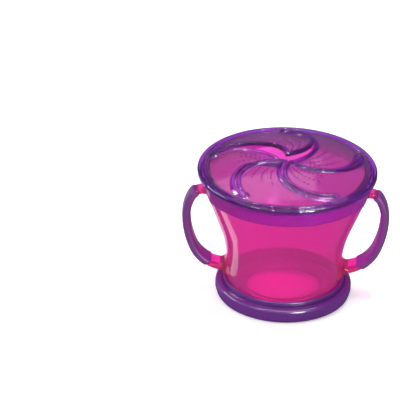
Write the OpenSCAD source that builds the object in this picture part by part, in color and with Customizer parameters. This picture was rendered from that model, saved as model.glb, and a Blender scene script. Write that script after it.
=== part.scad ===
// Two-handled snack cup for a toddler: a flared cup on a base ring, soft grips over its two handles,
// and a ring lid that presses onto the rim and carries a domed soft top cut into five curved flaps.
// Millimetres, +Z up. The origin is the centre of the base ring's underside; the handles lie along X.

/* [Cup] */
// Outer radius of the straight lower wall
cup_foot_r = 31.2; // [29:0.1:33]
// Outer radius of the upright band round the mouth
cup_rim_r = 45; // [42:0.1:48]
// Height of the rim above the table
cup_h = 73.1; // [71:0.1:82]
// Thickness of the cup's wall
cup_wall = 1.7; // [1.2:0.1:2.2]
// Height at which the straight lower wall ends
flare_z = 18; // [15:0.5:22]
// Radius of the curve that turns the wall outwards
flare_blend = 65; // [40:1:80]
// Height at which the cone meets the upright band
band_z = 66; // [62:0.5:68]
// Height of the floor's underside
floor_z = 4; // [3.4:0.1:5]
// Thickness of the floor
floor_t = 1.8; // [1.2:0.1:2.4]
// Radius of the outer corner under the floor
corner_r = 3; // [2.4:0.1:4]
// Radius of the raised panel in the middle of the floor
panel_r = 20; // [14:0.5:20.5]
// Height by which that panel is raised
panel_rise = 1.8; // [1:0.1:3]

/* [Base ring] */
// Radius at the widest part of the bulge
base_r = 36.9; // [35.5:0.1:40]
// Radius of the bulge's section
bulge_r = 4.4; // [3.8:0.1:4.8]
// Height of the bulge's centre
bulge_z = 4.1; // [3:0.1:4.6]
// Height of the thin collar that hugs the cup
collar_h = 11.2; // [9.6:0.1:14]
// Thickness of that collar
collar_t = 1.4; // [1:0.1:1.8]
// Radius of the hole through the flange under the floor
flange_hole_r = 21; // [20.6:0.1:24]
// Thickness of that flange
flange_t = 1.8; // [1.2:0.1:2.4]
// Inner radius of the flat foot
foot_in_r = 26.5; // [25:0.1:29]
// Radius of the crease between bulge and collar
crease_r = 0.6; // [0.3:0.1:0.8]

/* [Handles] */
// Height at which a handle leaves the wall at the top
handle_top_z = 62; // [60:0.5:63]
// Height at which it comes back at the bottom
handle_low_z = 16.5; // [16:0.5:19]
// Distance from the cup's axis to the handle's centreline at its widest
handle_reach = 53.6; // [52.5:0.1:58]
// Height of that widest place
handle_wide_z = 47.9; // [46.5:0.1:49]
// Radius of the handle's bend at the top
top_bend_r = 6; // [5:0.5:7]
// Radius of its curve above the widest place
upper_r = 22; // [20:1:26]
// Radius of its curve below the widest place
lower_r = 48; // [47:1:56]
// Radius of its bend at the bottom
low_bend_r = 20; // [17:0.5:20]
// Width of the handle's core
core_w = 8; // [6:0.5:9]
// Thickness of the core
core_t = 3.2; // [2.4:0.1:3.6]
// Width of the bare root at the bottom
root_w = 11.4; // [9.4:0.2:12.4]

/* [Grips] */
// Width of a grip at its top end
grip_top_w = 9.6; // [9.4:0.1:11]
// Width of a grip at its bottom end
grip_low_w = 12.9; // [12:0.1:15]
// Thickness of a grip with the core in it
grip_t = 4.7; // [4:0.1:5.6]
// Gap between a grip and the core
grip_gap = 0.1; // [0.05:0.01:0.15]
// Angle round the top bend at which a grip starts
grip_start = 60; // [45:1:75]
// Angle round the bottom bend at which it ends
grip_end = 61; // [45:1:70]

/* [Lid ring] */
// Gap between the lid and the cup
lid_gap = 0.3; // [0.25:0.05:0.5]
// Thickness of the ring's walls
ring_wall = 1.2; // [1:0.1:1.6]
// Length of the skirt below the ring's seat
skirt_l = 9.3; // [8:0.1:12]
// How far the bead stands out from the skirt
bead_out = 2; // [1.6:0.1:3]
// Radius of the bead's section
bead_r = 1.6; // [1.3:0.1:2]
// Height of the inner lip above the seat
lip_rise = 2.1; // [1.8:0.1:3]
// Radius of the inner lip's rounded top
lip_top_r = 0.65; // [0.4:0.05:0.8]
// Depth of the plug wall below the seat's underside
plug_l = 2.9; // [2:0.1:5]
// Thickness of the plug wall
plug_t = 0.9; // [0.7:0.1:1.2]
// Width of the skirt's cut-out over a handle, at the bottom
notch_low_w = 43.6; // [38:0.2:46]
// Width of that cut-out at the top
notch_top_w = 24; // [18:0.2:30]
// Height left between the cut-out and the seat
notch_top_gap = 2.4; // [2:0.1:4]

/* [Soft top] */
// Thickness of the membrane
skin_t = 1.2; // [0.9:0.1:1.6]
// Height of the membrane's edge above its seat
edge_h = 1.4; // [1.2:0.1:1.8]
// Rise of the dome from its edge to its middle
dome_rise = 5.5; // [4.5:0.1:8]
// Width of a slit between two flaps
slit_gap = 0.8; // [0.6:0.1:1.2]
// Angle that each slit's arc turns through
slit_sweep = 147; // [144:1:150]
// Distance by which the slits miss the middle
eye_r = 1.3; // [1:0.1:1.6]
// Distance from a slit's end to the ring's inner lip
slit_end_gap = 2.8; // [2.4:0.1:3.6]
// Radius of the rounded end of a slit
keyhole_r = 1.3; // [1:0.1:1.6]
// Distance by which a flap's edge is cut back on its underside, to clear its neighbour's lip
undercut = 1.4; // [1.1:0.1:1.5]
// Radius of the lip beside a slit
lip_r = 1.2; // [0.8:0.1:1.4]
// Width of the soft tabs let into the ring
tab_w = 10; // [6:0.5:14]
// Depth of those tabs below the ring's lip
tab_d = 1.5; // [1.1:0.1:1.6]

/* [Motion] */
// Height of a flap's hinge above the membrane's underside at the slits' ends
hinge_rise = 1.8; // [1.5:0.1:2]
// Angle by which a flap can bend upwards
flap_up = 12; // [4:1:14]
// Angle by which it can bend downwards
flap_down = 60; // [30:1:60]

/* [Hidden] */
$fn = 96;
smooth = 360;          // facets of the large circles in a preview
flap_count = 5;
first_slit = 36;       // angle of the first slit's centre from +X
cut = 1;               // overshoot of a cutting shape
seat_gap = 0.15;       // gap between pieces that are assembled and stay together
cup_pink = [0.93, 0.13, 0.5, 0.85];
ring_purple = [0.35, 0.12, 0.55, 0.85];
soft_purple = [0.66, 0.3, 0.66, 0.8];
grip_purple = [0.42, 0.16, 0.5];

// Cup wall
flare_c = [cup_foot_r + flare_blend, flare_z];
band_corner = [cup_rim_r, band_z];
flare_t = tangent_point(flare_c, flare_blend, band_corner);
flare_angle = atan2(cup_rim_r - flare_t[0], band_z - flare_t[1]);

// Handle path: level out of the wall, round four arcs that run into each other, and level back in
top_x = wall_r(handle_top_z) - cup_wall / 2;
low_x = wall_r(handle_low_z) - cup_wall / 2;
upper_c = [handle_reach - upper_r, handle_wide_z];
lower_c = [handle_reach - lower_r, handle_wide_z];
top_bend_c = inner_arc(upper_c, upper_r, top_bend_r, handle_top_z - top_bend_r);
low_bend_c = inner_arc(lower_c, lower_r, low_bend_r, handle_low_z + low_bend_r);
top_turn = atan2(top_bend_c[1] - upper_c[1], top_bend_c[0] - upper_c[0]);
low_turn = atan2(lower_c[1] - low_bend_c[1], low_bend_c[0] - lower_c[0]);
strap_t = 0.75 * core_t;
strap_w = core_w - core_t / 2;
root_lap = 10;               // angle by which strap and roots run into each other
sleeve_sides = 24;
bend_step = 6;               // angle between two rings of a grip round a bend
curve_step = 4;              // and along the longer curves
end_round = 0.6;             // rounding of a grip's ends

// Lid stack, upwards from the cup's rim
ledge_z = cup_h + lid_gap;
seat_z = ledge_z + ring_wall;
skirt_in_r = cup_rim_r + lid_gap;
skirt_out_r = skirt_in_r + ring_wall;
bead_c = skirt_out_r + bead_out - bead_r;
lip_in_r = skirt_in_r - 1;
plug_out_r = cup_rim_r - cup_wall - lid_gap - 0.1;
plug_in_r = plug_out_r - plug_t;
lip_top_z = seat_z + lip_rise;

// Dome and slits
top_r = lip_in_r - seat_gap;
dome_edge_z = seat_z + edge_h;
dome_r = (top_r ^ 2 + dome_rise ^ 2) / (2 * dome_rise);
dome_c = dome_edge_z + dome_rise - dome_r;
slit_end_r = lip_in_r - slit_end_gap;
slit_r = -eye_r / 2
    + sqrt(eye_r ^ 2 / 4 + (slit_end_r ^ 2 - eye_r ^ 2) / (2 * (1 - cos(slit_sweep))));
slit_tilt = asin((slit_r + eye_r) / dome_r);
slit_end = slit_point(180 + slit_sweep);
end_angle = atan2(slit_end[1], slit_end[0]);
end_reach = norm([slit_end[0], slit_end[1]]);
hinge_dist = end_reach * cos(180 / flap_count);
hinge_angle = end_angle + 180 / flap_count;
hinge_z = dome_c + sqrt((dome_r - skin_t) ^ 2 - end_reach ^ 2) + hinge_rise;
hinge_gap = 0.5;
bevel = 3;                   // play of a flap's root beyond its travel, as an angle
edge_r = slit_r - slit_gap / 2;
edge_top = sqrt(dome_r ^ 2 - edge_r ^ 2);
lip_side = slit_gap / 2 + lip_r - 0.05;  // lip's centre beside the middle of the slit
lip_lead = 12;                           // angle by which a lip starts before its slit

// Point on the circle round c where the line to p touches it, on the side of the cup's axis
function tangent_point(c, r, p) =
    let(d = p - c, a = atan2(d[1], d[0]) + acos(r / norm(d)))
    c + r * [cos(a), sin(a)];

// Outer radius of the cup's wall at height z
function wall_r(z) =
    z <= flare_z ? cup_foot_r :
    z <= flare_t[1] ? flare_c[0] - sqrt(flare_blend ^ 2 - (z - flare_z) ^ 2) :
    z <= band_z ? flare_t[0] + (z - flare_t[1]) * tan(flare_angle) : cup_rim_r;

// Point on a slit's arc, seen with the arc's centre along +X
function slit_point(a) =
    [slit_r * cos(a) * cos(slit_tilt) + sqrt(dome_r ^ 2 - slit_r ^ 2) * sin(slit_tilt), slit_r * sin(a)];

// Centre, at height z, of an arc of radius r that runs inside the arc of radius big round c
function inner_arc(c, big, r, z) = [c[0] + sqrt((big - r) ^ 2 - (z - c[1]) ^ 2), z];

// Angles from one to the other in equal steps of at most step, without the last
function steps(from, to, step) =
    let(n = ceil(abs(to - from) / step)) [for (i = [0 : n - 1]) from + (to - from) * i / n];

// Place on the handle at angle a from the horizontal: [centre, radius, angle] of the arc there
function handle_arc(a) =
    a > top_turn ? [top_bend_c, top_bend_r, a] :
    a > 0 ? [upper_c, upper_r, a] :
    a > -low_turn ? [lower_c, lower_r, a] : [low_bend_c, low_bend_r, a];

// Ring of points round the handle there, w wide along Y and t thick, with fully round edges
function handle_ring(a, w, t) =
    let(arc = handle_arc(a), half = (w - t) / 2)
    [for (i = [0 : sleeve_sides - 1])
        let(b = 360 * (i + 0.5) / sleeve_sides, r = arc[1] + sin(b) * t / 2)
        [arc[0][0] + r * cos(a), sign(cos(b)) * half + cos(b) * t / 2, arc[0][1] + r * sin(a)]];

// Quads that join ring i of a stack to ring j
function band_faces(i, j) =
    [for (k = [0 : sleeve_sides - 1])
        let(m = (k + 1) % sleeve_sides)
        [i * sleeve_sides + k, i * sleeve_sides + m, j * sleeve_sides + m, j * sleeve_sides + k]];

// Closed sleeve: its rings run along the outside and come back along the inside
module sleeve(outer, inner) {
    stack = concat(outer, [for (i = [len(inner) - 1 : -1 : 0]) inner[i]]);
    count = len(stack);
    polyhedron(
        points = [for (r = stack) each r],
        faces = [for (i = [0 : count - 1]) each band_faces(i, (i + 1) % count)]);
}

// Half-section of all that lies inside the cup's outer surface moved inwards by inset
module cup_form(inset, bottom, top, corner) {
    foot = cup_foot_r - inset;
    band = [cup_rim_r - inset, band_z + inset * tan(flare_angle / 2)];
    t = tangent_point(flare_c, flare_blend + inset, band);
    difference() {
        translate([0, bottom]) square([foot, flare_z - bottom]);
        difference() {
            translate([foot - corner, bottom - cut]) square([corner + cut, corner + cut]);
            translate([foot - corner, bottom + corner]) circle(corner);
        }
    }
    difference() {
        polygon([[0, flare_z], [t[0], flare_z], t, [0, t[1]]]);
        translate(flare_c) circle(flare_blend + inset, $fn = smooth);
    }
    polygon([[0, t[1]], t, band, [band[0], top], [0, top]]);
}

// Half-section of the cup: wall, floor with its raised panel, and a rounded rim
module cup_section() {
    rim_c = [cup_rim_r - cup_wall / 2, cup_h - cup_wall / 2];
    difference() {
        cup_form(0, floor_z, rim_c[1], corner_r);
        difference() {
            cup_form(cup_wall, floor_z + floor_t, cup_h, corner_r - min(cup_wall, floor_t));
            translate([0, floor_z]) square([panel_r + floor_t, floor_t + panel_rise]);
        }
        translate([0, floor_z - cut]) square([panel_r, cut + panel_rise]);
    }
    translate(rim_c) circle(cup_wall / 2);
}

// Section across the handle's core, w wide with fully round edges
module core_section(w) {
    square([core_t, w - core_t], center = true);
    for (side = [-1, 1]) translate([0, side * (w - core_t) / 2]) circle(core_t / 2);
}

// Stretch of the core round the arc at c, from one angle to another
module core_arc(c, r, from, to, w) {
    translate([c[0], 0, c[1]]) rotate([90, 0, 0]) rotate([0, 0, from])
        rotate_extrude(angle = to - from, $fn = smooth) translate([r, 0]) core_section(w);
}

// Level stretch of the core from x to x + l
module core_bar(x, z, l, w) {
    translate([x, 0, z]) rotate([90, 0, 90]) linear_extrude(l) rotate([0, 0, 90]) core_section(w);
}

// Flat strap that joins the two roots inside the grip
module core_strap() {
    angles = concat(steps(90 - root_lap, top_turn, bend_step), steps(top_turn, 0, curve_step),
                    steps(0, -low_turn, curve_step), steps(-low_turn, root_lap - 90, bend_step));
    sides = [for (side = [-1, 1]) [for (a = angles)
        let(arc = handle_arc(a)) arc[0] + (arc[1] + side * strap_t / 2) * [cos(a), sin(a)]]];
    last = len(angles) - 1;
    translate([0, strap_w / 2, 0]) rotate([90, 0, 0]) linear_extrude(strap_w)
        polygon(concat(sides[0], [for (i = [last : -1 : 0]) sides[1][i]]));
}

module handle_core() {
    core_bar(top_x, handle_top_z, top_bend_c[0] - top_x, core_w);
    core_arc(top_bend_c, top_bend_r, grip_start - root_lap, 90, core_w);
    core_strap();
    core_arc(low_bend_c, low_bend_r, -90, -grip_end, root_w);
    core_bar(low_x, handle_low_z, low_bend_c[0] - low_x, root_w);
}

module cup_shell() {
    color(cup_pink) {
        rotate_extrude($fn = smooth) cup_section();
        for (side = [0, 1]) mirror([side, 0, 0]) handle_core();
    }
}

module grip() {
    last = seat_gap / low_bend_r * 180 / PI - grip_end;
    angles = concat(steps(grip_start, top_turn, bend_step), steps(top_turn, 0, curve_step),
                    steps(0, -low_turn, curve_step), steps(-low_turn, last, bend_step), [last]);
    count = len(angles);
    taper = [for (a = angles) (grip_start - a) / (grip_start - last)];
    bare = [for (i = [0 : count - 1]) i == 0 || i == count - 1 ? end_round : 0];
    color(grip_purple) sleeve(
        [for (i = [0 : count - 1])
            handle_ring(angles[i], grip_top_w + (grip_low_w - grip_top_w) * taper[i] - bare[i], grip_t - bare[i])],
        [for (a = angles) handle_ring(a, core_w + 2 * grip_gap, core_t + 2 * grip_gap)]);
}

module grip_right() { grip(); }
module grip_left() { mirror([1, 0, 0]) grip(); }

module base_ring() {
    bore_r = cup_foot_r + seat_gap;
    collar_r = bore_r + collar_t;
    bulge_c = [base_r - bulge_r, bulge_z];
    color(ring_purple) rotate_extrude($fn = smooth) difference() {
        union() {
            translate([foot_in_r, 0]) square([bulge_c[0] - foot_in_r, bulge_z + bulge_r]);
            translate(bulge_c) circle(bulge_r);
            translate([flange_hole_r, floor_z - flange_t]) square([foot_in_r - flange_hole_r + cut, flange_t]);
            translate([bore_r, floor_z]) square([collar_t, collar_h - floor_z - collar_t / 2]);
            translate([bore_r + collar_t / 2, collar_h - collar_t / 2]) circle(collar_t / 2);
        }
        translate([0, -bulge_r]) square([base_r, bulge_r]);
        translate([0, floor_z]) square([bore_r, collar_h - floor_z - collar_t / 2]);
        translate([collar_r + crease_r / 2, bulge_z + bulge_r]) circle(crease_r);
    }
}

// Cut-out in the skirt over the handle on +X
module skirt_notch() {
    low_z = seat_z - skirt_l - cut;
    top_z = ledge_z - notch_top_gap + ring_wall;
    translate([cup_rim_r / 2, 0, 0]) rotate([90, 0, 90]) linear_extrude(cup_rim_r)
        polygon([[-notch_low_w / 2, low_z], [notch_low_w / 2, low_z],
                 [notch_top_w / 2, top_z], [-notch_top_w / 2, top_z]]);
}

// Tab that sits in the ring's lip at the end of slit k, made smaller all round by gap
module ring_tab(k, gap) {
    rotate([0, 0, slit_angle(k) + end_angle])
        translate([top_r - cut, -tab_w / 2 + gap, lip_top_z - tab_d])
            cube([cut + skirt_out_r - top_r - gap, tab_w - 2 * gap, tab_d + (gap > 0 ? -gap : cut)]);
}

module lid_ring() {
    color(ring_purple) difference() {
        rotate_extrude($fn = smooth) {
            translate([skirt_in_r, seat_z - skirt_l]) square([ring_wall, skirt_l]);
            translate([plug_in_r, ledge_z]) square([skirt_out_r - plug_in_r, ring_wall]);
            translate([plug_in_r, ledge_z - plug_l]) square([plug_t, plug_l + ring_wall / 2]);
            translate([lip_in_r, ledge_z]) square([bead_c - lip_in_r, ring_wall + bead_r - 0.1]);
            translate([bead_c, seat_z]) circle(bead_r);
            translate([lip_in_r, seat_z]) square([2 * lip_top_r, lip_rise - lip_top_r]);
            translate([lip_in_r + lip_top_r, lip_top_z - lip_top_r]) circle(lip_top_r);
        }
        for (side = [0, 1]) mirror([side, 0, 0]) skirt_notch();
        for (k = [1 : flap_count]) ring_tab(k, 0);
    }
}

function slit_angle(k) = first_slit + (k - 1) * 360 / flap_count;

// Frame on the dome whose Z axis passes through the centre of slit k's arc
module on_slit(k) {
    translate([0, 0, dome_c]) rotate([0, slit_tilt, slit_angle(k)]) children();
}

// All that lies within distance r of the axis of slit k's arc
module slit_disc(k, r) {
    on_slit(k) cylinder(r = r, h = dome_r + 2 * lip_r, $fn = smooth);
}

// All that a flap may fill inside its own slit, narrower below the dome's skin
module slit_inside(k) {
    on_slit(k) rotate_extrude($fn = smooth) polygon([
        [0, edge_top - 2 * skin_t], [edge_r - 2 * undercut, edge_top - 2 * skin_t],
        [edge_r, edge_top], [edge_r, dome_r + 2 * lip_r], [0, dome_r + 2 * lip_r]]);
}

// Half-round lip that runs along the dome at distance r from the axis of slit k's arc
module slit_lip(k, r) {
    on_slit(k) rotate([0, 0, 180 - lip_lead])
        rotate_extrude(angle = slit_sweep + lip_lead, $fn = smooth)
            translate([r, sqrt(dome_r ^ 2 - r ^ 2)]) circle(lip_r);
}

// The side of flap k's hinge that faces the middle; lean tips the cut towards the middle
module inner_side(k, back, lean) {
    rotate([0, 0, slit_angle(k) + hinge_angle])
        translate([hinge_dist - back, 0, hinge_z])
            rotate([0, -lean, 0])
                translate([-2 * cup_rim_r, -cup_rim_r, -cup_rim_r])
                    cube([2 * cup_rim_r, 2 * cup_rim_r, 2 * cup_rim_r]);
}

module keyhole(k) {
    rotate([0, 0, slit_angle(k)])
        translate([slit_end[0], slit_end[1], seat_z]) cylinder(r = keyhole_r, h = 2 * dome_rise);
}

module dome_section() {
    difference() {
        translate([0, dome_c]) circle(dome_r, $fn = 4 * smooth);
        translate([0, dome_c]) circle(dome_r - skin_t, $fn = 4 * smooth);
    }
}

module dome_skin() {
    rotate_extrude($fn = smooth) intersection() {
        dome_section();
        translate([0, seat_z]) square([top_r, 2 * dome_rise]);
    }
}

// The membrane's rim: its skin and the thicker band round its edge, seated on the ring
module dome_rim() {
    rotate_extrude($fn = smooth) intersection() {
        union() {
            dome_section();
            intersection() {
                translate([0, dome_c]) circle(dome_r - skin_t / 2, $fn = 4 * smooth);
                translate([plug_in_r, seat_z]) square([top_r, 2 * dome_rise]);
            }
        }
        translate([slit_r / 4, seat_z]) square([top_r - slit_r / 4, 2 * dome_rise]);
    }
}

module flap_frame() {
    color(soft_purple) {
        difference() {
            dome_rim();
            for (k = [1 : flap_count]) {
                intersection() {
                    slit_disc(k, slit_r + slit_gap / 2);
                    inner_side(k, 0, 0);
                }
                keyhole(k);
            }
        }
        for (k = [1 : flap_count]) {
            difference() {
                slit_lip(k, slit_r + lip_side);
                inner_side(k - 1, 0, 0);
                keyhole(k);
            }
            ring_tab(k, seat_gap);
        }
    }
}

// Flap k lies between slit k and the next one, and bends about the line through its root
module flap(k) {
    color(soft_purple) difference() {
        intersection() {
            union() {
                dome_skin();
                slit_lip(k, slit_r - lip_side);
                slit_lip(k + 1, slit_r + lip_side);
            }
            slit_inside(k);
            inner_side(k, hinge_gap, flap_up + bevel);
            inner_side(k, hinge_gap, -flap_down - bevel);
        }
        slit_disc(k + 1, slit_r + slit_gap / 2);
        keyhole(k);
    }
}

module flap_1() { flap(1); }
module flap_2() { flap(2); }
module flap_3() { flap(3); }
module flap_4() { flap(4); }
module flap_5() { flap(5); }

cup_shell();
grip_left();
grip_right();
base_ring();
lid_ring();
flap_frame();
flap_1();
flap_2();
flap_3();
flap_4();
flap_5();
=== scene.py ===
import math
import bmesh
import bpy
from mathutils import Matrix, Vector


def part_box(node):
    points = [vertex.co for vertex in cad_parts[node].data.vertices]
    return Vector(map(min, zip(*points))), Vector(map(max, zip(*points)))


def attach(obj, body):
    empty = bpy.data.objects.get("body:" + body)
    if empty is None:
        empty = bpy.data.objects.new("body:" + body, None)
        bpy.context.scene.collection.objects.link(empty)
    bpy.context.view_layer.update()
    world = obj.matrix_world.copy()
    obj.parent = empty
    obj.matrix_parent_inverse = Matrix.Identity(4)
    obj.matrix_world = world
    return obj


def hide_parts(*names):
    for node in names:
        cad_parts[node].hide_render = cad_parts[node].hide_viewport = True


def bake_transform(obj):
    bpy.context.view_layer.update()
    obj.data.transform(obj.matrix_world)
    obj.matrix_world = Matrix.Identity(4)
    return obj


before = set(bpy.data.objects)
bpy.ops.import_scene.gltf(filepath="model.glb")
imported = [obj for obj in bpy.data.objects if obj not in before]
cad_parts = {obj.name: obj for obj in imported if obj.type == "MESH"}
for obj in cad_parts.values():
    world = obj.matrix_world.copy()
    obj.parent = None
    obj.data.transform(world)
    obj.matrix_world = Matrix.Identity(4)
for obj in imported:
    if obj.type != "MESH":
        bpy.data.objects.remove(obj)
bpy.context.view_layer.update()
mm = 0.001                       # the pieces below are drawn in millimetres


def nodeBox(name):
    low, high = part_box(name)
    return [v / mm for v in low], [v / mm for v in high]


# sizes that have to agree with the solids
ringLow, ringHigh = nodeBox("lid_ring")
cupLow, cupHigh = nodeBox("cup_shell")
baseLow, baseHigh = nodeBox("base_ring")
lidR = (ringHigh[1] - ringLow[1]) / 2
lidTop = ringHigh[2]
cupTop = cupHigh[2]
rimR = (cupHigh[1] - cupLow[1]) / 2
baseR = (baseHigh[1] - baseLow[1]) / 2
collarTop = baseHigh[2]
print("frame loaded, lid radius", round(lidR, 2), "cup top", round(cupTop, 2))


def makeObject(name, points, faces):
    mesh = bpy.data.meshes.new(name)
    mesh.from_pydata([Vector(p) * mm for p in points], [], faces)
    mesh.validate()
    work = bmesh.new()
    work.from_mesh(mesh)
    bmesh.ops.recalc_face_normals(work, faces=work.faces)
    work.to_mesh(mesh)
    work.free()
    mesh.polygons.foreach_set("use_smooth", [True] * len(mesh.polygons))
    obj = bpy.data.objects.new(name, mesh)
    bpy.context.scene.collection.objects.link(obj)
    return obj


def filleted(corners, closed=True):
    # corners are (x, y, radius, segments); each becomes a tangent arc, or stays a point at radius 0
    edgeShare = 0.49             # the most of an edge that one rounding takes
    out = []
    count = len(corners)
    for i, corner in enumerate(corners):
        here = Vector(corner[:2])
        radius = corner[2] if len(corner) > 2 else 0
        segments = corner[3] if len(corner) > 3 else 5
        if radius == 0 or (not closed and i in (0, count - 1)):
            out.append(here)
            continue
        back = Vector(corners[i - 1][:2]) - here
        ahead = Vector(corners[(i + 1) % count][:2]) - here
        half = back.angle(ahead) / 2
        reach = min(radius / math.tan(half), edgeShare * back.length, edgeShare * ahead.length)
        radius = reach * math.tan(half)
        start = here + back.normalized() * reach
        end = here + ahead.normalized() * reach
        middle = (back.normalized() + ahead.normalized()).normalized()
        centre = here + middle * radius / math.sin(half)
        a, b = start - centre, end - centre
        turn = a.angle_signed(b) * -1
        for s in range(segments + 1):
            c, d = math.cos(turn * s / segments), math.sin(turn * s / segments)
            out.append(centre + Vector((a.x * c - a.y * d, a.x * d + a.y * c)))
    return out


def stackFaces(rings, around, closedStack):
    faces = []
    last = rings if closedStack else rings - 1
    for i in range(last):
        j = (i + 1) % rings
        for k in range(around):
            m = (k + 1) % around
            faces.append((i * around + k, i * around + m, j * around + m, j * around + k))
    return faces


def lathe(name, profileAt, segments):
    # profileAt(angle) gives closed outlines of (r, z) with the same number of points all round
    points = []
    for i in range(segments):
        angle = 2 * math.pi * i / segments
        c, s = math.cos(angle), math.sin(angle)
        ring = profileAt(angle)
        points += [(p[0] * c, p[0] * s, p[1]) for p in ring]
    return makeObject(name, points, stackFaces(segments, len(ring), True))


def latheCapped(name, profile, segments):
    # an open outline whose two ends lie on the axis
    inner = profile[1:-1]
    points = []
    for i in range(segments):
        angle = 2 * math.pi * i / segments
        points += [(p[0] * math.cos(angle), p[0] * math.sin(angle), p[1]) for p in inner]
    first, last = len(points), len(points) + 1
    points += [(0, 0, profile[0][1]), (0, 0, profile[-1][1])]
    count = len(inner)
    faces = []
    for i in range(segments):
        j = (i + 1) % segments
        for k in range(count - 1):
            faces.append((i * count + k, j * count + k, j * count + k + 1, i * count + k + 1))
        faces.append((first, j * count, i * count))
        faces.append((last, i * count + count - 1, j * count + count - 1))
    return makeObject(name, points, faces)


def loft(name, rings):
    # a closed bar through rings of equal length
    around = len(rings[0])
    points = [p for ring in rings for p in ring]
    faces = stackFaces(len(rings), around, False)
    faces.append(tuple(range(around - 1, -1, -1)))
    faces.append(tuple(range((len(rings) - 1) * around, len(rings) * around)))
    return makeObject(name, points, faces)


def loopLoft(name, rings):
    points = [p for ring in rings for p in ring]
    return makeObject(name, points, stackFaces(len(rings), len(rings[0]), True))


def joinInto(obj, others):
    for other in others:
        tool = obj.modifiers.new("union", "BOOLEAN")
        tool.operation = "UNION"
        tool.solver = "EXACT"
        tool.object = other
        bpy.context.view_layer.update()
        evaluated = obj.evaluated_get(bpy.context.evaluated_depsgraph_get())
        result = bpy.data.meshes.new_from_object(evaluated)
        obj.modifiers.clear()
        obj.data = result
        bpy.data.objects.remove(other)
    obj.data.polygons.foreach_set("use_smooth", [True] * len(obj.data.polygons))


def smoothStep(a, b, x):
    t = min(1, max(0, (x - a) / (b - a)))
    return t * t * (3 - 2 * t)


def roundedEnd(edge, radius):
    # how far a section draws in at this distance from a rounded end
    near = 1 - min(1, edge / radius)
    return radius * (1 - math.sqrt(1 - near ** 2))


def buildMouldGroup():
    # slow colour drift, uneven gloss and a fine skin, as injection moulding leaves them
    group = bpy.data.node_groups.new("mouldedSkin", "ShaderNodeTree")
    sockets = {
        "INPUT": {"Colour": "Color", "Drift Colour": "Color", "Drift Scale": "Float",
                  "Gloss Low": "Float", "Gloss High": "Float", "Skin Scale": "Float"},
        "OUTPUT": {"Colour": "Color", "Roughness": "Float", "Height": "Float"}}
    for side, kinds in sockets.items():
        for name, kind in kinds.items():
            group.interface.new_socket(name=name, in_out=side, socket_type="NodeSocket" + kind)
    nodes, links = group.nodes, group.links
    inside = nodes.new("NodeGroupInput")
    outside = nodes.new("NodeGroupOutput")
    place = nodes.new("ShaderNodeTexCoord")
    drift = nodes.new("ShaderNodeTexNoise")
    drift.inputs["Detail"].default_value = 3
    links.new(place.outputs["Object"], drift.inputs["Vector"])
    links.new(inside.outputs["Drift Scale"], drift.inputs["Scale"])
    mix = nodes.new("ShaderNodeMix")
    mix.data_type = "RGBA"
    links.new(drift.outputs["Fac"], mix.inputs["Factor"])
    links.new(inside.outputs["Colour"], mix.inputs["A"])
    links.new(inside.outputs["Drift Colour"], mix.inputs["B"])
    links.new(mix.outputs["Result"], outside.inputs["Colour"])
    skin = nodes.new("ShaderNodeTexNoise")
    skin.inputs["Detail"].default_value = 4
    links.new(place.outputs["Object"], skin.inputs["Vector"])
    links.new(inside.outputs["Skin Scale"], skin.inputs["Scale"])
    gloss = nodes.new("ShaderNodeMapRange")
    gloss.inputs["From Min"].default_value = 0.3
    gloss.inputs["From Max"].default_value = 0.7
    links.new(skin.outputs["Fac"], gloss.inputs["Value"])
    links.new(inside.outputs["Gloss Low"], gloss.inputs["To Min"])
    links.new(inside.outputs["Gloss High"], gloss.inputs["To Max"])
    links.new(gloss.outputs["Result"], outside.inputs["Roughness"])
    links.new(skin.outputs["Fac"], outside.inputs["Height"])
    return group


mouldGroup = buildMouldGroup()
skinDepth = 0.1 * mm


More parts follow.
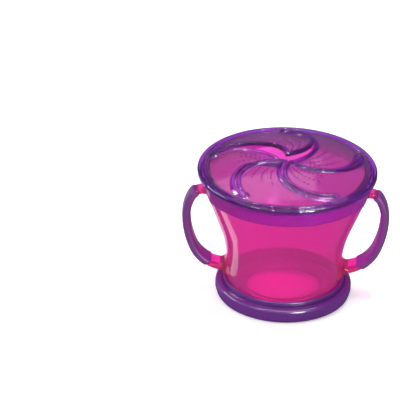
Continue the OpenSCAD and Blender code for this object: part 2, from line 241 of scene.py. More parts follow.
def plasticMaterial(name, look):
    material = bpy.data.materials.new(name)
    material.use_nodes = True
    nodes, links = material.node_tree.nodes, material.node_tree.links
    nodes.clear()
    output = nodes.new("ShaderNodeOutputMaterial")
    shader = nodes.new("ShaderNodeBsdfPrincipled")
    skin = nodes.new("ShaderNodeGroup")
    skin.node_tree = mouldGroup
    values = {"Colour": (*look["colour"], 1), "Drift Colour": (*look["drift"], 1),
              "Drift Scale": look["driftScale"], "Gloss Low": look["gloss"][0],
              "Gloss High": look["gloss"][1], "Skin Scale": look["skinScale"]}
    for socket, value in values.items():
        skin.inputs[socket].default_value = value
    baseColour = skin.outputs["Colour"]
    if "paintedShadeColour" in look:
        # painted shade: the mask darkens lips and dots, standing in for the shade their thickness and
        # refraction give
        lips = nodes.new("ShaderNodeAttribute")
        lips.attribute_name = "lipPaintedShade"
        paintedShadeMix = nodes.new("ShaderNodeMix")
        paintedShadeMix.data_type = "RGBA"
        paintedShadeMix.inputs["B"].default_value = (*look["paintedShadeColour"], 1)
        links.new(lips.outputs["Fac"], paintedShadeMix.inputs["Factor"])
        links.new(baseColour, paintedShadeMix.inputs["A"])
        baseColour = paintedShadeMix.outputs["Result"]
    links.new(baseColour, shader.inputs["Base Color"])
    links.new(skin.outputs["Roughness"], shader.inputs["Roughness"])
    bump = nodes.new("ShaderNodeBump")
    bump.inputs["Strength"].default_value = look["bump"]
    bump.inputs["Distance"].default_value = skinDepth
    links.new(skin.outputs["Height"], bump.inputs["Height"])
    links.new(bump.outputs["Normal"], shader.inputs["Normal"])
    shader.inputs["IOR"].default_value = look.get("ior", 1.49)
    shader.inputs["Transmission Weight"].default_value = look.get("clear", 0)
    shader.inputs["Specular IOR Level"].default_value = look["specular"]
    if "clear" not in look:
        links.new(shader.outputs["BSDF"], output.inputs["Surface"])
        return material
    # lamps pass through the tinted plastic, dimmed by the same absorption
    lightPath = nodes.new("ShaderNodeLightPath")
    passed = nodes.new("ShaderNodeBsdfTransparent")
    mix = nodes.new("ShaderNodeMixShader")
    links.new(lightPath.outputs["Is Shadow Ray"], mix.inputs["Fac"])
    links.new(shader.outputs["BSDF"], mix.inputs[1])
    links.new(passed.outputs["BSDF"], mix.inputs[2])
    links.new(mix.outputs["Shader"], output.inputs["Surface"])
    depth = nodes.new("ShaderNodeVolumeAbsorption")
    density = look["absorb"]
    depth.inputs["Density"].default_value = density
    depth.inputs["Color"].default_value = (*[1 - a / density for a in look["perMetre"]], 1)
    links.new(depth.outputs["Volume"], output.inputs["Volume"])
    return material


cupMaterial = plasticMaterial("pinkClearPlastic", {
    "colour": (0.725, 0.19, 0.585), "drift": (0.695, 0.165, 0.545), "driftScale": 30,
    "gloss": (0.04, 0.08), "skinScale": 260, "bump": 0.04, "clear": 0.84, "specular": 0.12,
    "absorb": 900, "perMetre": (20, 540, 135)})
ringMaterial = plasticMaterial("purpleClearPlastic", {
    "colour": (0.68, 0.22, 0.74), "drift": (0.65, 0.19, 0.72), "driftScale": 30,
    "gloss": (0.03, 0.07), "skinScale": 260, "bump": 0.04, "clear": 0.96, "specular": 0.3,
    "absorb": 900, "perMetre": (250, 430, 130)})
# the soft top's deep violet below is painted shade on its lips and dots
topMaterial = plasticMaterial("lilacSoftTop", {
    "colour": (0.65, 0.42, 0.61), "drift": (0.62, 0.39, 0.58), "driftScale": 45,
    "paintedShadeColour": (0.33, 0.05, 0.58), "gloss": (0.06, 0.12), "skinScale": 200, "bump": 0.03,
    "clear": 0.98, "ior": 1.43, "specular": 0.25, "absorb": 600, "perMetre": (80, 160, 45)})
baseMaterial = plasticMaterial("purpleBasePlastic", {
    "colour": (0.145, 0.038, 0.26), "drift": (0.125, 0.031, 0.23), "driftScale": 40,
    "gloss": (0.13, 0.2), "skinScale": 300, "bump": 0.08, "specular": 0.45})
gripMaterial = plasticMaterial("purpleGripRubber", {
    "colour": (0.19, 0.044, 0.25), "drift": (0.165, 0.037, 0.21), "driftScale": 60,
    "gloss": (0.36, 0.46), "skinScale": 700, "bump": 0.2, "specular": 0.2})
print("materials")


def finishPiece(obj, material, body, nodeNames=()):
    obj.data.materials.clear()
    obj.data.materials.append(material)
    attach(obj, body)
    if nodeNames:
        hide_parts(*nodeNames)


# the cup is one wall with a floor and its raised panel, and carries both handles' cores
cup = {"footR": 31.2, "wall": 1.7, "bandZ": 66, "flareSlope": 0.385, "blend": 65, "bandCurve": 4,
       "floorZ": 4.0, "floorT": 1.8, "cornerR": 3, "innerCornerR": 1.4,
       "panelR": 20, "panelRise": 1.8, "panelWall": 1, "panelLean": 0.6, "crease": 0.8, "around": 240}
flareAngle = math.atan(cup["flareSlope"])
flareZ = cup["bandZ"] - (rimR - cup["footR"]) / cup["flareSlope"]      # where wall and cone would meet
innerShift = cup["wall"] * math.tan(flareAngle / 2)


def wallR(z):
    # outer radius of the cup at height z
    reach = cup["blend"] * math.tan(flareAngle / 2)
    if z < flareZ - reach:
        return cup["footR"]
    if z < flareZ + reach * math.cos(flareAngle):
        return cup["footR"] + cup["blend"] - math.sqrt(cup["blend"] ** 2 - (z - flareZ + reach) ** 2)
    return min(rimR, rimR + (z - cup["bandZ"]) * cup["flareSlope"])


wall = cup["wall"]
floorIn = cup["floorZ"] + cup["floorT"]
panelOut = cup["panelR"] + cup["panelWall"]
cupOutline = filleted([
    (0, floorIn), (cup["panelR"], floorIn, cup["crease"]),
    (cup["panelR"] + cup["panelLean"], cup["floorZ"], cup["crease"]),
    (cup["footR"], cup["floorZ"], cup["cornerR"], 8), (cup["footR"], flareZ, cup["blend"], 28),
    (rimR, cup["bandZ"], cup["bandCurve"], 8), (rimR, cupTop, wall / 2, 8),
    (rimR - wall, cupTop, wall / 2, 8), (rimR - wall, cup["bandZ"] + innerShift, cup["bandCurve"], 8),
    (cup["footR"] - wall, flareZ - innerShift, cup["blend"] + wall, 28),
    (cup["footR"] - wall, floorIn, cup["innerCornerR"], 6),
    (panelOut + cup["panelLean"], floorIn, cup["crease"]),
    (panelOut, floorIn + cup["panelRise"], cup["crease"]), (0, floorIn + cup["panelRise"])], closed=False)
cupPiece = latheCapped("cup_body", cupOutline, cup["around"])

# a core leaves the wall at the top, bends round four arcs and comes back at the foot;
# topSteps and lowSteps are distances from the wall at which its two roots get a ring
handle = {"topZ": 62, "lowZ": 16.5, "reach": 53.6, "wideZ": 47.9,
          "topBend": 6, "upper": 22, "lower": 48, "lowBend": 20, "sweep": 171.4, "steps": 55, "points": 40,
          "coreW": 8, "coreT": 3.2, "rootW": 12, "rootT": 3.9, "thickFrom": 0.8,
          "fillet": 4.2, "topFillet": 1.5, "topSteps": (-0.9, -0.3, 0, 0.1, 0.3, 0.6, 0.95, 1.3),
          "lowSteps": (2.6, 2.2, 1.8, 1.4, 1.0, 0.7, 0.45, 0.25, 0.1, 0, -0.4, -1.0)}


def innerArc(c, big, r, z):
    return (c[0] + math.sqrt((big - r) ** 2 - (z - c[1]) ** 2), z)


upperC = (handle["reach"] - handle["upper"], handle["wideZ"])
lowerC = (handle["reach"] - handle["lower"], handle["wideZ"])
topC = innerArc(upperC, handle["upper"], handle["topBend"], handle["topZ"] - handle["topBend"])
footC = innerArc(lowerC, handle["lower"], handle["lowBend"], handle["lowZ"] + handle["lowBend"])
topTurn = math.degrees(math.atan2(topC[1] - upperC[1], topC[0] - upperC[0]))
lowTurn = math.degrees(math.atan2(footC[1] - lowerC[1], footC[0] - lowerC[0]))


def handleArc(a):
    if a > topTurn:
        return topC, handle["topBend"]
    if a > 0:
        return upperC, handle["upper"]
    if a > lowTurn:
        return lowerC, handle["lower"]
    return footC, handle["lowBend"]


def superEllipse(count, w, t, power=4):
    out = []
    for i in range(count):
        a = 2 * math.pi * (i + 0.5) / count
        c, s = math.cos(a), math.sin(a)
        across = math.copysign(abs(c) ** (2 / power), c) * w / 2
        outwards = math.copysign(abs(s) ** (2 / power), s) * t / 2
        out.append((across, outwards))
    return out


def handleRing(a, section, skew=0):
    # section points are (across Y, outwards); skew slides the outer side along the handle
    centre, r = handleArc(a)
    ring = []
    for y, n in section:
        b = math.radians(a) + skew * n / r
        ring.append((centre[0] + (r + n) * math.cos(b), y, centre[1] + (r + n) * math.sin(b)))
    return ring


def coreSize(a):
    # width and thickness of the core; it widens steadily and thickens only near its foot
    share = (90 - a) / handle["sweep"]
    width = handle["coreW"] + (handle["rootW"] - handle["coreW"]) * share
    thicker = smoothStep(handle["thickFrom"], 1, share)
    return width, handle["coreT"] + (handle["rootT"] - handle["coreT"]) * thicker


def rootRing(d, z, w, t, fillet, side):
    # ring at distance d from the wall, growing into it like a fillet; side is 1 where outwards is up
    near = min(1, max(0, (fillet - d) / fillet))
    grow = 2 * fillet * (1 - math.sqrt(1 - near * near))
    ring = []
    for y, n in superEllipse(handle["points"], w + grow, t + grow):
        r = wallR(z + side * n)
        ring.append((math.sqrt(r * r - y * y) + d, y, z + side * n))
    return ring


def coreRings():
    rings = []
    for d in handle["topSteps"]:
        rings.append(rootRing(d, handle["topZ"], handle["coreW"], handle["coreT"], handle["topFillet"], 1))
    for i in range(handle["steps"] + 1):
        a = 90 - handle["sweep"] * i / handle["steps"]
        rings.append(handleRing(a, superEllipse(handle["points"], *coreSize(a))))
    for d in handle["lowSteps"]:
        x = cup["footR"] + d
        z = footC[1] - math.sqrt(handle["lowBend"] ** 2 - max(0, x - footC[0]) ** 2)
        rings.append(rootRing(d, z, handle["rootW"], handle["rootT"], handle["fillet"], -1))
    return rings


def mirrored(rings):
    return [[(-x, y, z) for x, y, z in reversed(ring)] for ring in rings]


cores = coreRings()
joinInto(cupPiece, [loft("core_right", cores), loft("core_left", mirrored(cores))])
finishPiece(cupPiece, cupMaterial, "cup", ["cup_shell"])
print("cup", len(cupPiece.data.polygons), "faces")

# grips are sleeves with rounded ends, and the lower end is cut upright
grip = {"from": 60, "to": -61, "topW": 9.6, "lowW": 12.9, "thick": 4.7, "squareness": 3.6, "play": 0.1,
        "long": 52, "endR": 1.1, "topSkew": 0.25, "lowSkew": 0.55, "steps": 60, "points": 44}


def gripRings():
    inner, outer = [], []
    for i in range(grip["steps"] + 1):
        share = i / grip["steps"]
        a = grip["from"] + (grip["to"] - grip["from"]) * share
        soft = roundedEnd(min(share, 1 - share) * grip["long"], grip["endR"])
        width = grip["topW"] + (grip["lowW"] - grip["topW"]) * share
        skew = grip["lowSkew"] * smoothStep(0.8, 1, share) - grip["topSkew"] * smoothStep(0.2, 0, share)
        section = superEllipse(grip["points"], width - soft, grip["thick"] - soft, grip["squareness"])
        outer.append(handleRing(a, section, skew))
        coreW, coreT = coreSize(a)
        section = superEllipse(grip["points"], coreW + grip["play"], coreT + grip["play"])
        inner.append(handleRing(a, section, skew))
    return outer + inner[::-1]


grips = gripRings()
for name, rings in (("grip_right", grips), ("grip_left", mirrored(grips))):
    gripPiece = loopLoft("soft_" + name, rings)
    finishPiece(gripPiece, gripMaterial, "cup", [name])
print("grips")

# the base ring has a round bulge, a crease and a thin collar that hugs the cup
base = {"footIn": 26.5, "bulge": 4.2, "bulgeTop": 8.5, "underR": 3.2, "underIn": 1.2, "shoulderR": 4.3,
        "bore": 31.35, "collarT": 1.4, "creaseOut": 0.75, "creaseIn": 0.45, "creaseDeep": 0.75,
        "creaseR": 0.25, "flangeR": 21, "flangeT": 1.8, "edgeR": 0.5, "around": 240}
collarR = base["bore"] + base["collarT"]
flangeZ = cup["floorZ"] - base["flangeT"]
baseOutline = filleted([
    (base["footIn"], 0, 0.7), (baseR - base["underIn"], 0, base["underR"], 8), (baseR, base["bulge"], 0),
    (baseR, base["bulgeTop"], base["shoulderR"], 12),
    (collarR + base["creaseOut"], base["bulgeTop"] + 0.1, 0.3),
    (collarR + base["creaseIn"], base["bulgeTop"] - base["creaseDeep"], base["creaseR"]),
    (collarR, base["bulgeTop"] - 0.2, base["creaseR"]), (collarR, collarTop, 0.6),
    (base["bore"], collarTop, base["edgeR"]), (base["bore"], cup["floorZ"], 0.2),
    (base["flangeR"], cup["floorZ"], base["edgeR"]), (base["flangeR"], flangeZ, base["edgeR"]),
    (base["footIn"], flangeZ, base["edgeR"])])
basePiece = lathe("base_foot_ring", lambda angle: baseOutline, base["around"])
finishPiece(basePiece, baseMaterial, "cup", ["base_ring"])
print("base ring")

# the lid ring has a seat, a plug wall, a lip, a bead and a skirt cut away over the handles
lid = {"gap": 0.3, "wall": 1.2, "skirt": 9.3, "skirtR": 0.35, "plugL": 2.9, "plugT": 0.9, "plugPlay": 0.1,
       "notchLow": 28, "notchTop": 15, "notchGap": 1.9, "beadLow": 1.65, "beadHigh": 1.5, "beadR": 1.55,
       "beadFoot": 1.7, "beadCrown": 1.45, "beadFootR": 0.5, "grooveIn": 0.85, "grooveHigh": 1.1,
       "lipInset": 1, "lipT": 1.3, "lipR": 0.5, "tabHalf": 6.6, "tabDepth": 1.35, "tabSlope": 0.25,
       "firstSlit": 36, "slitStep": 72, "slitEnd": -16.1, "around": 720}
ledgeZ = cupTop + lid["gap"]
seatZ = ledgeZ + lid["wall"]
skirtIn = rimR + lid["gap"]
skirtOut = skirtIn + lid["wall"]
lipIn = skirtIn - lid["lipInset"]
plugIn = rimR - cup["wall"] - lid["gap"] - lid["plugPlay"] - lid["plugT"]
plugOut = plugIn + lid["plugT"]
plugLow = ledgeZ - lid["plugL"]
slitAngles = [lid["firstSlit"] + lid["slitStep"] * k for k in range(5)]


def angleFrom(a, b):
    return abs((a - b + 180) % 360 - 180)


def ringOutlineAt(angle):
    degrees = math.degrees(angle)
    side = min(angleFrom(degrees, 0), angleFrom(degrees, 180))
    raised = 1 - smoothStep(lid["notchTop"] - 1, lid["notchLow"] + 1, side)
    bottom = seatZ - lid["skirt"] + raised * (lid["skirt"] - lid["wall"] - lid["notchGap"])
    fromTab = min(angleFrom(degrees, a + lid["slitEnd"]) for a in slitAngles)
    level = smoothStep(lid["tabHalf"] - lid["tabSlope"], lid["tabHalf"] + lid["tabSlope"], fromTab)
    lipZ = lidTop - lid["tabDepth"] * (1 - level)
    grooveZ = min(seatZ + lid["grooveHigh"], lipZ)
    return filleted([
        (skirtOut, bottom, lid["skirtR"], 4), (skirtOut, seatZ - lid["beadFoot"], lid["beadFootR"], 4),
        (lidR, seatZ - lid["beadLow"], lid["beadR"], 10), (lidR, seatZ + lid["beadHigh"], lid["beadR"], 10),
        (skirtOut - 0.5, seatZ + lid["beadCrown"], lid["beadFootR"], 4),
        (skirtOut - lid["grooveIn"], grooveZ, 0.25, 3),
        (lipIn + lid["lipT"], lipZ, lid["lipR"], 5), (lipIn, lipZ, lid["lipR"], 5), (lipIn, seatZ, 0.2, 3),
        (plugIn, seatZ, 0.3, 3), (plugIn, plugLow, 0.4, 4), (plugOut, plugLow, 0.4, 4),
        (plugOut, ledgeZ, 0.3, 3), (skirtIn, ledgeZ, 0.3, 3), (skirtIn, bottom, lid["skirtR"], 4)])


ringPiece = lathe("lid_clip_ring", ringOutlineAt, lid["around"])
finishPiece(ringPiece, ringMaterial, "lid", ["lid_ring"])
print("lid ring")

# the soft top is five petals between the slits, each from the middle out to the ring;
# hang is how many degrees each petal sags at its tip, below 0 where it stands up, and hangOver the
# distance from the root over which the sag grows
# the two distance ranges after lipFade bound the band beside each slit that gets painted shade
top = {"skin": 1.2, "edge": 1.4, "rise": 5.5, "gap": 0.45, "endGap": 0.06, "slitR": 20.95, "slitC": 22.2,
       "sweep": 147, "endR": 41.3, "lipH": 1.1, "lipW": 2.55, "lipFade": 1.2, "paintedShadeStart": (0.35, 0.9),
       "paintedShadeStop": (3.3, 2.6), "outR": lipIn - 0.15, "hinge": 33.35, "hingeTurn": 19.9, "hingeZ": 77.28,
       "shutOver": 1.2, "seatPlay": 0.02, "seatRamp": 0.25, "columns": 86,
       "hang": (4.0, -3.4, 9.5, 0.6, 1.2), "hangOver": 25}
domeR = (top["outR"] ** 2 + top["rise"] ** 2) / (2 * top["rise"])
domeC = seatZ + top["edge"] + top["rise"] - domeR
endR = top["endR"]


def domeAt(r, under=0):
    return domeC + math.sqrt((domeR - under) ** 2 - r * r)


def slitPoint(turn):
    # point on the slit's arc in the petal's own frame; turn counts from the end near the middle
    a = math.radians(180 + turn)
    return Vector((top["slitC"] + top["slitR"] * math.cos(a), top["slitR"] * math.sin(a)))


def slitDistance(p, alpha):
    # distance from p to the slit whose arc centre lies at angle alpha
    q = Matrix.Rotation(-math.radians(alpha), 2) @ p
    v = q - Vector((top["slitC"], 0))
    turn = (math.degrees(math.atan2(v.y, v.x)) - 180) % 360
    if turn < top["sweep"] or turn > 350:
        return abs(v.length - top["slitR"])
    return min((q - slitPoint(top["sweep"])).length, (q - slitPoint(0)).length)


def lipHeight(d):
    # a broad lip beside the slit, flat on its back and rounded at both edges
    t = (d - top["gap"] / 2 - top["lipW"] / 2) / (top["lipW"] / 2)
    return top["lipH"] * max(0, 1 - t ** 4) ** 0.6


def polarSlit(r, radius):
    # angle of the slit's arc at distance r from the axis
    c = (r * r + top["slitC"] ** 2 - radius * radius) / (2 * r * top["slitC"])
    return -math.degrees(math.acos(max(-1, min(1, c))))


def petalRadii():
    # rows lie closer together near the middle and where the slits end
    radii = [1.75, 1.85, 2.0, 2.2, 2.45, 2.75, 3.1]
    while radii[-1] < endR - 0.3:
        step = 0.42 if radii[-1] < 30 else 0.3
        radii.append(radii[-1] + step)
    tail = [endR - 0.12, endR, endR + 0.25]
    while tail[-1] < top["outR"] - 0.75:
        tail.append(tail[-1] + 0.35)
    rim = [top["outR"] - 0.4, top["outR"] - 0.15, top["outR"]]
    return [r for r in radii if r < endR - 0.25] + tail + rim


def petalShares(width, slant):
    # shares across a row, close together beside the two slits
    near = [0, 0.12, 0.3, 0.5, 0.72, 0.95, 1.2, 1.45, 1.7, 1.95, 2.2, 2.45, 2.7, 3.1, 3.7]
    scale = min(1, width * slant * 0.45 / near[-1]) / slant
    side = [n * scale / width for n in near]
    inner = top["columns"] - 2 * len(near)
    low, high = side[-1], 1 - side[-1]
    middle = [low + (high - low) * (i + 1) / (inner + 1) for i in range(inner)]
    return side + middle + [1 - s for s in reversed(side)]


nubShape = {"around": 8, "levels": (-0.85, -0.35, 0.35, 0.85)}


def nub(centre, tall, wide, points, faces):
    # a small flattened ball, closed, added to a mesh in the making
    around, levels = nubShape["around"], nubShape["levels"]
    first = len(points)
    for lift in levels:
        reach = wide * math.sqrt(1 - lift * lift)
        for i in range(around):
            a = 2 * math.pi * i / around
            x, y = centre[0] + reach * math.cos(a), centre[1] + reach * math.sin(a)
            points.append([x, y, centre[2] + tall * lift])
    points.append([centre[0], centre[1], centre[2] - tall])
    points.append([centre[0], centre[1], centre[2] + tall])
    lastRing = first + around * (len(levels) - 1)
    for i in range(around):
        j = (i + 1) % around
        for level in range(first, lastRing, around):
            faces.append((level + i, level + j, level + around + j, level + around + i))
        faces.append((lastRing + around, first + j, first + i))
        faces.append((lastRing + around + 1, lastRing + i, lastRing + j))


dots = {"rows": (0.3, 0.5, 0.7), "count": 9, "from": 8, "to": 26, "wide": 0.52, "tall": 0.42}


def petalDots(alpha, points, faces):
    for share in dots["rows"]:
        for i in range(dots["count"]):
            r = dots["from"] + (dots["to"] - dots["from"]) * i / (dots["count"] - 1)
            a0 = alpha + polarSlit(r, top["slitR"])
            a1 = alpha + lid["slitStep"] + polarSlit(r, top["slitR"])
            a = math.radians(a0 + (a1 - a0) * share)
            nub((r * math.cos(a), r * math.sin(a), domeAt(r)), dots["tall"], dots["wide"], points, faces)


def slabFaces(rows, columns):
    # skin, underside and the four edges between them
    faces = []
    below = rows * columns
    for i in range(rows - 1):
        for j in range(columns - 1):
            a, b = i * columns + j, (i + 1) * columns + j
            faces.append((a, b, b + 1, a + 1))
            faces.append((below + a, below + a + 1, below + b + 1, below + b))
        a, b = i * columns, (i + 1) * columns
        faces.append((a, below + a, below + b, b))
        a, b = a + columns - 1, b + columns - 1
        faces.append((a, b, below + b, below + a))
    for j in range(columns - 1):
        faces.append((j, j + 1, below + j + 1, below + j))
        a = (rows - 1) * columns + j
        faces.append((a, below + a, below + a + 1, a + 1))
    return faces


def hangPoint(point, out, degrees):
    # the petal's own set: it hangs a little from its root
    n = point[0] * out.x + point[1] * out.y
    turn = math.radians(degrees) * smoothStep(0, top["hangOver"], top["hinge"] - n)
    dn, dz = n - top["hinge"], point[2] - top["hingeZ"]
    newN = dn * math.cos(turn) - dz * math.sin(turn)
    newZ = dz * math.cos(turn) + dn * math.sin(turn)
    point[0] += out.x * (newN - dn)
    point[1] += out.y * (newN - dn)
    point[2] = top["hingeZ"] + newZ


def petalMesh(k, name):
    alpha = slitAngles[k - 1]
    nextAlpha = alpha + lid["slitStep"]
    radii = petalRadii()
    upper, lower, paintedShades = [], [], []
    for r in radii:
        shut = smoothStep(endR - top["shutOver"], endR, r)
        half = top["gap"] / 2 * (1 - shut) + top["endGap"] / 2 * shut
        rr = min(r, endR)
        a0 = alpha + polarSlit(rr, top["slitR"] - half)
        a1 = nextAlpha + polarSlit(rr, top["slitR"] + half)
        b = 2 * math.degrees(math.asin(min(1, rr / (2 * top["slitR"]))))
        slant = max(0.22, math.cos(math.radians(b / 2)))
        width = max(0.05, math.radians(a1 - a0) * r)
        outer = smoothStep(top["outR"], top["outR"] - top["lipFade"], r)
        seat = smoothStep(plugIn - top["seatRamp"], plugIn + top["seatRamp"], r)
        lowZ = domeAt(r, top["skin"]) * (1 - seat) + (seatZ + top["seatPlay"]) * seat
        for share in petalShares(width, slant):
            a = math.radians(a0 + (a1 - a0) * share)
            p = Vector((r * math.cos(a), r * math.sin(a)))
            d = min(slitDistance(p, alpha), slitDistance(p, nextAlpha))
            # painted shade along each lip, away from the slit's own edge, fading out past the lip and at
            # the rim
            paintedShades.append(smoothStep(*top["paintedShadeStart"], d) * smoothStep(*top["paintedShadeStop"], d) * outer)
            upper.append([p.x, p.y, domeAt(r) + lipHeight(d) * outer])
            lower.append([p.x, p.y, lowZ])
    dotPoints, dotFaces = [], []
    petalDots(alpha, dotPoints, dotFaces)
    points = upper + lower + dotPoints
    hingeAt = math.radians(alpha + top["hingeTurn"])
    out = Vector((math.cos(hingeAt), math.sin(hingeAt)))
    for point in points:
        hangPoint(point, out, top["hang"][k - 1])
    dotsFrom = len(upper) + len(lower)
    faces = [tuple(dotsFrom + i for i in face) for face in dotFaces]
    faces += slabFaces(len(radii), top["columns"])
    obj = makeObject(name, points, faces)
    shade = obj.data.attributes.new("lipPaintedShade", "FLOAT", "POINT")
    # the dots get full painted shade
    shade.data.foreach_set("value", paintedShades + paintedShades + [1] * len(dotPoints))
    return obj


for k in range(1, 6):
    petal = petalMesh(k, f"petal_{k}")
    petal.data.materials.append(topMaterial)
    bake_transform(petal)
    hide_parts(*([f"flap_{k}"] + (["flap_frame"] if k == 1 else [])))
print("petals")

# tabs of the soft top let into the ring's lip at the slits' ends
tabs = {"play": 0.3, "steps": 16, "endR": 0.35, "bottomPlay": 0.03, "stand": 0.1, "inset": 0.1,
        "outIn": 0.75, "lowR": 0.25, "highR": 0.35, "middleR": 45}


def tabRings(at):
    rings = []
    half = lid["tabHalf"] - tabs["play"]
    for i in range(tabs["steps"] + 1):
        share = i / tabs["steps"]
        edge = min(share, 1 - share) * 2 * half * math.radians(1) * tabs["middleR"]
        soft = roundedEnd(edge, tabs["endR"])
        near, far = lipIn - tabs["inset"] + soft, skirtOut - tabs["outIn"] - soft
        low = lidTop - lid["tabDepth"] + tabs["bottomPlay"] + soft
        high = lidTop + tabs["stand"] - soft
        outline = filleted([(near, low, tabs["lowR"]), (far, low, tabs["lowR"]),
                            (far, high, tabs["highR"]), (near, high, tabs["highR"])])
        a = math.radians(at - half + 2 * half * share)
        rings.append([(p.x * math.cos(a), p.x * math.sin(a), p.y) for p in outline])
    return rings


for k, a in enumerate(slitAngles, 1):
    tab = loft(f"soft_tab_{k}", tabRings(a + lid["slitEnd"]))
    finishPiece(tab, topMaterial, "lid")
print("tabs")

# two small moulding nubs on the front of the skirt
nubs = {"angles": (-86, -60), "z": 69.7, "tall": 0.5, "wide": 0.55}
for i, at in enumerate(nubs["angles"], 1):
    a = math.radians(at)
    nubPoints, nubFaces = [], []
    place = (skirtOut * math.cos(a), skirtOut * math.sin(a), nubs["z"])
    nub(place, nubs["tall"], nubs["wide"], nubPoints, nubFaces)
    finishPiece(makeObject(f"skirt_nub_{i}", nubPoints, nubFaces), ringMaterial, "lid")
print("nubs")

# studio sizes and places are in metres
studio = {"floorHalf": 4, "floorColour": (0.93, 0.93, 0.93, 1), "floorRough": 0.9, "floorSpecular": 0.1,
          "floorLift": 0.1, "floorCameraLift": 0.32, "worldSeen": 1.0, "worldLight": 0.55}


def backdropRays(nodes, links, rays):
    # 1 for rays that find the backdrop white: straight, through clear plastic or off gloss
    found = rays["Is Camera Ray"]
    for ray in ("Is Transmission Ray", "Is Glossy Ray"):
        either = nodes.new("ShaderNodeMath")
        either.operation = "MAXIMUM"
        links.new(found, either.inputs[0])
        links.new(rays[ray], either.inputs[1])
        found = either.outputs[0]
    return found


half = studio["floorHalf"]
floorCorners = [(-half, -half, 0), (half, -half, 0), (half, half, 0), (-half, half, 0)]
floorMesh = bpy.data.meshes.new("floor")
floorMesh.from_pydata(floorCorners, [], [(0, 1, 2, 3)])
floor = bpy.data.objects.new("floor", floorMesh)
bpy.context.scene.collection.objects.link(floor)
floorMaterial = bpy.data.materials.new("paleFloor")
floorMaterial.use_nodes = True
nodes, links = floorMaterial.node_tree.nodes, floorMaterial.node_tree.links
floorShader = nodes["Principled BSDF"]
floorShader.inputs["Base Color"].default_value = studio["floorColour"]
floorShader.inputs["Roughness"].default_value = studio["floorRough"]
floorShader.inputs["Specular IOR Level"].default_value = studio["floorSpecular"]
floorShader.inputs["Emission Color"].default_value = (1, 1, 1, 1)
rays = nodes.new("ShaderNodeLightPath").outputs
floorSeen = backdropRays(nodes, links, rays)
floorLift = nodes.new("ShaderNodeMath")
floorLift.operation = "MULTIPLY"
floorLift.inputs[1].default_value = studio["floorLift"]
links.new(floorSeen, floorLift.inputs[0])
floorClean = nodes.new("ShaderNodeMath")
floorClean.operation = "MULTIPLY_ADD"
floorClean.inputs[1].default_value = studio["floorCameraLift"]
links.new(rays["Is Camera Ray"], floorClean.inputs[0])
links.new(floorLift.outputs[0], floorClean.inputs[2])
links.new(floorClean.outputs[0], floorShader.inputs["Emission Strength"])
floorMesh.materials.append(floorMaterial)

world = bpy.data.worlds.new("studio")
bpy.context.scene.world = world
world.use_nodes = True
nodes, links = world.node_tree.nodes, world.node_tree.links
worldBack = nodes["Background"]
worldBack.inputs["Color"].default_value = (1, 1, 1, 1)
worldSeen = backdropRays(nodes, links, nodes.new("ShaderNodeLightPath").outputs)
strength = nodes.new("ShaderNodeMapRange")
strength.inputs["To Min"].default_value = studio["worldLight"]
strength.inputs["To Max"].default_value = studio["worldSeen"]
links.new(worldSeen, strength.inputs["Value"])
links.new(strength.outputs["Result"], worldBack.inputs["Strength"])

# a lamp that has gloss instead of power makes highlights only; wallStreak lies beside the foot, faces up,
# is turned by its lying angle and makes the pale streak down the cup's left side
lamps = {
    "keyBox": {"at": (-0.5, -0.45, 0.8), "aim": (0, 0, 0.04), "size": (0.12, 0.24), "power": 2.6},
    "topBox": {"at": (0.18, 0.05, 0.9), "aim": (0, 0, 0.05), "size": (0.3, 0.12), "power": 2.6},
    "sheenBox": {"at": (-0.14, 0.6, 0.72), "aim": (0, 0, 0.08), "size": (0.5, 0.3), "power": 0.5},
    "rimBox": {"at": (-0.74, 0.33, 0.5), "aim": (0, 0, 0.07), "size": (0.25, 0.05), "gloss": 4.4},
    "topStrip": {"at": (0.27, -0.17, 0.88), "aim": (0, 0, 0.07), "size": (0.5, 0.04), "gloss": 4.0},
    "baseBox": {"at": (0.34, -0.75, 0.11), "aim": (0, 0, 0.01), "size": (0.3, 0.11), "gloss": 14.0},
    "sideStrip": {"at": (-0.8, -0.12, 0.47), "aim": (0, 0, 0.07), "size": (0.6, 0.025), "gloss": 2.6},
    "frontStrip": {"at": (-0.12, -0.47, 0.85), "aim": (0, 0, 0.07), "size": (0.6, 0.02), "gloss": 3.2},
    "wallStreak": {"at": (-0.078, 0.0135, 0.001), "lying": 150, "size": (0.06, 0.021), "gloss": 0.0058}}

for name, lamp in lamps.items():
    light = bpy.data.lights.new(name, "AREA")
    light.shape = "RECTANGLE"
    light.size, light.size_y = lamp["size"]
    light.energy = lamp["gloss"] if "gloss" in lamp else lamp["power"]
    obj = bpy.data.objects.new(name, light)
    obj.location = lamp["at"]
    if "lying" in lamp:
        obj.rotation_euler = (math.pi, 0, math.radians(lamp["lying"]))
    else:
        towards = Vector(lamp["aim"]) - Vector(lamp["at"])
        obj.rotation_euler = towards.to_track_quat("-Z", "Y").to_euler()
    obj.visible_camera = False
    if "gloss" in lamp:
        obj.visible_diffuse = False
        obj.visible_transmission = False
    bpy.context.scene.collection.objects.link(obj)
print("lamps")

# a grey card behind and a mat underneath, which only reflections see
card = {"radius": 0.95, "top": 1.6, "from": -30, "to": 210, "mat": 0.94, "lift": 0.0004,
        "matFrom": 155, "matTo": 462, "steps": 48, "colour": (0.16, 0.11, 0.18, 1), "rough": 0.9}


def onCircle(radius, start, end, i, z):
    a = math.radians(start + (end - start) * i / card["steps"])
    return (radius / mm * math.cos(a), radius / mm * math.sin(a), z / mm)


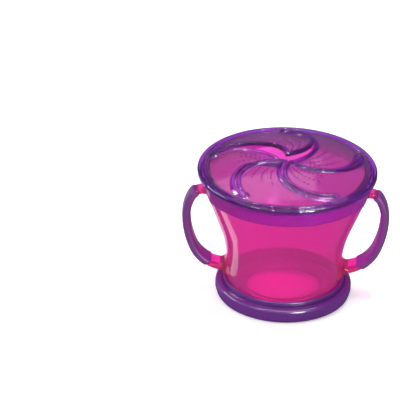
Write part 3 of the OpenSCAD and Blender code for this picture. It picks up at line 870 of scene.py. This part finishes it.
cardPoints = []
for i in range(card["steps"] + 1):
    for z in (0, card["top"]):
        cardPoints.append(onCircle(card["radius"], card["from"], card["to"], i, z))
cardFaces = [(2 * i, 2 * i + 2, 2 * i + 3, 2 * i + 1) for i in range(card["steps"])]
centre = len(cardPoints)
cardPoints.append((0, 0, card["lift"] / mm))
for i in range(card["steps"] + 1):
    cardPoints.append(onCircle(card["mat"], card["matFrom"], card["matTo"], i, card["lift"]))
cardFaces += [(centre, centre + 1 + i, centre + 2 + i) for i in range(card["steps"])]
greyCard = makeObject("greyCard", cardPoints, cardFaces)
cardMaterial = bpy.data.materials.new("greyCard")
cardMaterial.use_nodes = True
cardShader = cardMaterial.node_tree.nodes["Principled BSDF"]
cardShader.inputs["Base Color"].default_value = card["colour"]
cardShader.inputs["Roughness"].default_value = card["rough"]
greyCard.data.materials.append(cardMaterial)
greyCard.visible_camera = False
greyCard.visible_diffuse = False
greyCard.visible_transmission = False
greyCard.visible_shadow = False

# pixel is the width of a pixel at the lid, and lidPixel is where the lid's middle stands in the frame
shot = {"elevation": 28.4, "roll": 1.65, "distance": 2.6, "pixel": 0.5375 * mm, "lidPixel": (287.35, 170.5),
        "frame": 400, "sensor": 36}
el, roll = math.radians(shot["elevation"]), math.radians(shot["roll"])
forward = Vector((0, math.cos(el), -math.sin(el)))
upright = Vector((0, math.sin(el), math.cos(el)))
right = Vector((1, 0, 0)) * math.cos(roll) + upright * math.sin(roll)
up = upright * math.cos(roll) - Vector((1, 0, 0)) * math.sin(roll)
offX = (shot["lidPixel"][0] - shot["frame"] / 2) * shot["pixel"]
offY = (shot["frame"] / 2 - shot["lidPixel"][1]) * shot["pixel"]
aim = Vector((0, 0, seatZ * mm)) - right * offX - up * offY
cameraData = bpy.data.cameras.new("camera")
cameraData.sensor_width = shot["sensor"]
cameraData.lens = shot["sensor"] * shot["distance"] / (shot["frame"] * shot["pixel"])
camera = bpy.data.objects.new("camera", cameraData)
camera.matrix_world = Matrix((
    (right.x, up.x, -forward.x, 0), (right.y, up.y, -forward.y, 0),
    (right.z, up.z, -forward.z, 0), (0, 0, 0, 1)))
camera.location = aim - forward * shot["distance"]
bpy.context.scene.collection.objects.link(camera)
bpy.context.scene.camera = camera
bpy.context.scene.view_settings.view_transform = "Standard"

bounces = 28                     # enough for rays through every clear wall
bpy.context.scene.cycles.max_bounces = bounces
bpy.context.scene.cycles.transmission_bounces = bounces
bpy.context.scene.cycles.transparent_max_bounces = bounces
print("stage")
